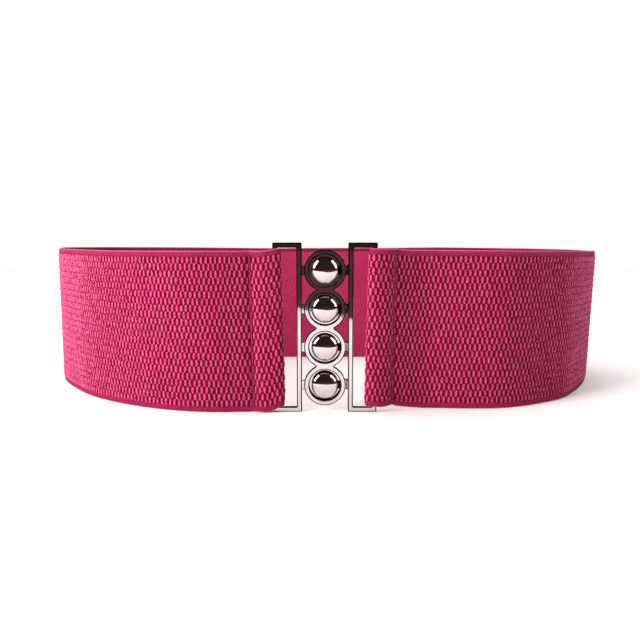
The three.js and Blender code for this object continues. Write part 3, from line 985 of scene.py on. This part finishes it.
def floor_material(stage):
    """Plain pale surface."""
    material, tree, principled = new_material("Pale surface")
    place = own_place(tree)
    drift = varied(tree, place, 30.0, 0.99, 1.0)
    shade = [0.97 * c for c in stage.floor_colour]
    finish = {
        "Base Color": mix_colour(tree, drift, shade, stage.floor_colour),
        "Roughness": varied(tree, place, 60.0, 0.75, 0.85),
    }
    fill(tree, principled, finish)
    return material


def place_piece(name, mesh, material, node=None):
    """Adds a finished piece at the frame's origin, riding with the belt and standing for its solid."""
    piece = bpy.data.objects.new(name, mesh)
    mesh.materials.append(material)
    bpy.context.scene.collection.objects.link(piece)
    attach(piece, "root")
    if node is not None:
        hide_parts(node)
    return piece


def card(name, material, corners):
    """A flat card that only reflections see."""
    mesh = bpy.data.meshes.new(name)
    mesh.from_pydata(corners, [], [tuple(range(len(corners)))])
    mesh.update()
    mesh.materials.append(material)
    piece = bpy.data.objects.new(name, mesh)
    bpy.context.scene.collection.objects.link(piece)
    piece.visible_camera = False
    piece.visible_diffuse = False
    piece.visible_shadow = False
    piece.visible_transmission = False
    return piece


def facing_card(name, material, target, offset, size):
    """A rectangular card set off from a target and turned to face it."""
    centre = target + Vector(offset)
    turn = (-Vector(offset)).to_track_quat("-Z", "Y")
    across, up = turn @ Vector((size[0] / 2, 0, 0)), turn @ Vector((0, size[1] / 2, 0))
    corners = [centre - across - up, centre + across - up, centre + across + up, centre - across + up]
    return card(name, material, corners)


def dark_surround(stage):
    """A folded dark card in front of the belt, nearer on the right, where the floor in the metal ends."""
    dim = glowing_material("Dim surround", stage.surround_colour, 1.0)
    dark = glowing_material("Dark surround", stage.dark_colour, 1.0)
    left, right = stage.left_distance, stage.right_distance
    wide, left_fold, right_fold = 1.5, -0.038, 0.045
    foot, step, top = 0.0005, 0.07, 0.3
    folds = ((-wide, left), (left_fold, left), (right_fold, right), (wide, right))
    plan = [(CLASP_MIDDLE_X + x, FRAME_FRONT_Y - distance) for x, distance in folds]
    for level, material, low, high in (("low", dim, foot, step), ("high", dark, step, top)):
        for i, (start, stop) in enumerate(zip(plan, plan[1:]), 1):
            corners = [(*start, low), (*stop, low), (*stop, high), (*start, high)]
            card(f"surround_{level}_{i}", material, corners)


def soft_room(stage):
    """White behind the belt, even light on it, and dark in the metal's reflections."""
    world = bpy.data.worlds.new("Soft white room")
    world.use_nodes = True
    tree = world.node_tree
    tree.nodes.clear()
    path = tree.nodes.new("ShaderNodeLightPath").outputs

    def room(shade, strength):
        inputs = {"Color": (*shade, 1.0), "Strength": strength}
        return add_node(tree, "ShaderNodeBackground", inputs).outputs[0]

    def choose(chooser, first, second):
        return add_node(tree, "ShaderNodeMixShader", {0: chooser, 1: first, 2: second}).outputs[0]

    white = (1.0, 1.0, 1.0)
    lit = choose(path["Is Glossy Ray"], room(white, stage.room_glow), room(stage.dark_colour, 1.0))
    seen = choose(path["Is Camera Ray"], lit, room(white, 1.0))
    add_node(tree, "ShaderNodeOutputWorld", {"Surface": seen})
    return world


def glowing_material(name, shade, strength):
    """A card's even glow, or none, with a faint drift over it."""
    material = bpy.data.materials.new(name)
    material.use_nodes = True
    tree = material.node_tree
    tree.nodes.clear()
    drift = varied(tree, own_place(tree), 6.0, 0.85, 1.0)
    base = mix_colour(tree, drift, [0.8 * c for c in shade], shade)
    glow = add_node(tree, "ShaderNodeEmission", {"Color": base, "Strength": strength})
    add_node(tree, "ShaderNodeOutputMaterial", {"Surface": glow.outputs[0]})
    return material


def area_light(name, place, aim, size, power, tint):
    light = bpy.data.lights.new(name, "AREA")
    light.shape = "RECTANGLE"
    light.size, light.size_y = size
    light.energy = power
    light.color = tint
    lamp = bpy.data.objects.new(name, light)
    lamp.location = place
    lamp.rotation_euler = (Vector(aim) - Vector(place)).to_track_quat("-Z", "Y").to_euler()
    lamp.visible_glossy = False
    bpy.context.scene.collection.objects.link(lamp)
    return lamp


class BELT_OT_strap(bpy.types.Operator):
    """Knits the strap, with its knuckles, smooth edges and plain lining, and sews its seams"""

    bl_idname = "belt.strap"
    bl_label = "Strap and seams"

    def execute(self, context):
        strap, clasp, _ = settings()
        mesh, path = strap_mesh(strap, clasp)
        place_piece("elastic_strap_knit", mesh, elastic_material(strap), "elastic_strap")
        place_piece("seam_stitches", stitches_mesh(path, strap), thread_material(strap))
        return {"FINISHED"}


class BELT_OT_clasp(bpy.types.Operator):
    """Casts both halves of the clasp in plated metal"""

    bl_idname = "belt.clasp"
    bl_label = "Ring and stud clasp"

    def execute(self, context):
        strap, clasp, _ = settings()
        metal = metal_material(clasp)
        place_piece("ring_half_cast", ring_half_mesh(clasp, strap), metal, "ring_half")
        place_piece("stud_half_cast", stud_half_mesh(clasp, strap), metal, "stud_half")
        return {"FINISHED"}


class BELT_OT_stage(bpy.types.Operator):
    """Sets the pale surface, the soft lights, the cards that the metal reflects and the camera"""

    bl_idname = "belt.stage"
    bl_label = "Surface, lights and camera"

    def execute(self, context):
        _, _, stage = settings()
        scene = context.scene
        mesh = bpy.data.meshes.new("surface")
        wide, near, far = 1.4, -1.1, 1.5
        corners = [(-wide, near, 0), (wide, near, 0), (wide, far, 0), (-wide, far, 0)]
        mesh.from_pydata(corners, [], [(0, 1, 2, 3)])
        mesh.update()
        mesh.materials.append(floor_material(stage))
        floor = bpy.data.objects.new("surface", mesh)
        scene.collection.objects.link(floor)

        scene.world = soft_room(stage)
        front = Vector((CLASP_MIDDLE_X, FRAME_FRONT_Y, 0.04))
        glow = glowing_material("Soft box", (1.0, 0.99, 0.97), stage.box_glow)
        x, y, z = BOX_PLACE
        for side, name in ((-1, "left_box"), (1, "right_box")):
            facing_card(name, glow, front, (side * x, y, z), BOX_SIZE)
        dark_surround(stage)
        for name, place, size, power in (
            ("key", KEY_PLACE, KEY_SIZE, stage.key_power),
            ("overhead", OVERHEAD_PLACE, OVERHEAD_SIZE, stage.overhead_power),
        ):
            area_light(name, place, LAMP_AIM, size, power, LAMP_TINT)

        camera = bpy.data.cameras.new("camera")
        camera.lens = stage.lens_mm
        camera.sensor_width = 36.0
        camera.clip_start = 0.01
        eye = bpy.data.objects.new("camera", camera)
        eye.location = (
            CLASP_MIDDLE_X - stage.camera_offset, FRAME_FRONT_Y - stage.camera_distance, stage.camera_height
        )
        eye.rotation_euler = Matrix.Rotation(math.pi / 2 - stage.camera_pitch, 4, "X").to_euler()
        scene.collection.objects.link(eye)
        scene.camera = eye
        scene.view_settings.view_transform = "Standard"
        return {"FINISHED"}


class BELT_PT_panel(bpy.types.Panel):
    """Lists the pieces of the belt in the sidebar"""

    bl_idname = "BELT_PT_panel"
    bl_label = "Elastic stretch belt"
    bl_space_type = "VIEW_3D"
    bl_region_type = "UI"
    bl_category = "Belt"

    def draw(self, context):
        for settings_name in ("belt_strap", "belt_clasp", "belt_stage"):
            group = getattr(context.scene, settings_name)
            box = self.layout.box()
            for name in group.__annotations__:
                box.prop(group, name)
        for operator in OPERATORS:
            self.layout.operator(operator.bl_idname)


SETTINGS = {
    "belt_strap": BeltStrapSettings,
    "belt_clasp": BeltClaspSettings,
    "belt_stage": BeltStageSettings,
}
OPERATORS = (BELT_OT_strap, BELT_OT_clasp, BELT_OT_stage)


def register():
    for name, group in SETTINGS.items():
        bpy.utils.register_class(group)
        setattr(bpy.types.Scene, name, bpy.props.PointerProperty(type=group))
    for cls in (*OPERATORS, BELT_PT_panel):
        bpy.utils.register_class(cls)


def unregister():
    for cls in (BELT_PT_panel, *reversed(OPERATORS)):
        bpy.utils.unregister_class(cls)
    for name, group in SETTINGS.items():
        delattr(bpy.types.Scene, name)
        bpy.utils.unregister_class(group)


def main():
    register()
    bpy.ops.belt.strap()
    bpy.ops.belt.clasp()
    bpy.ops.belt.stage()


if __name__ == "__main__":
    main()
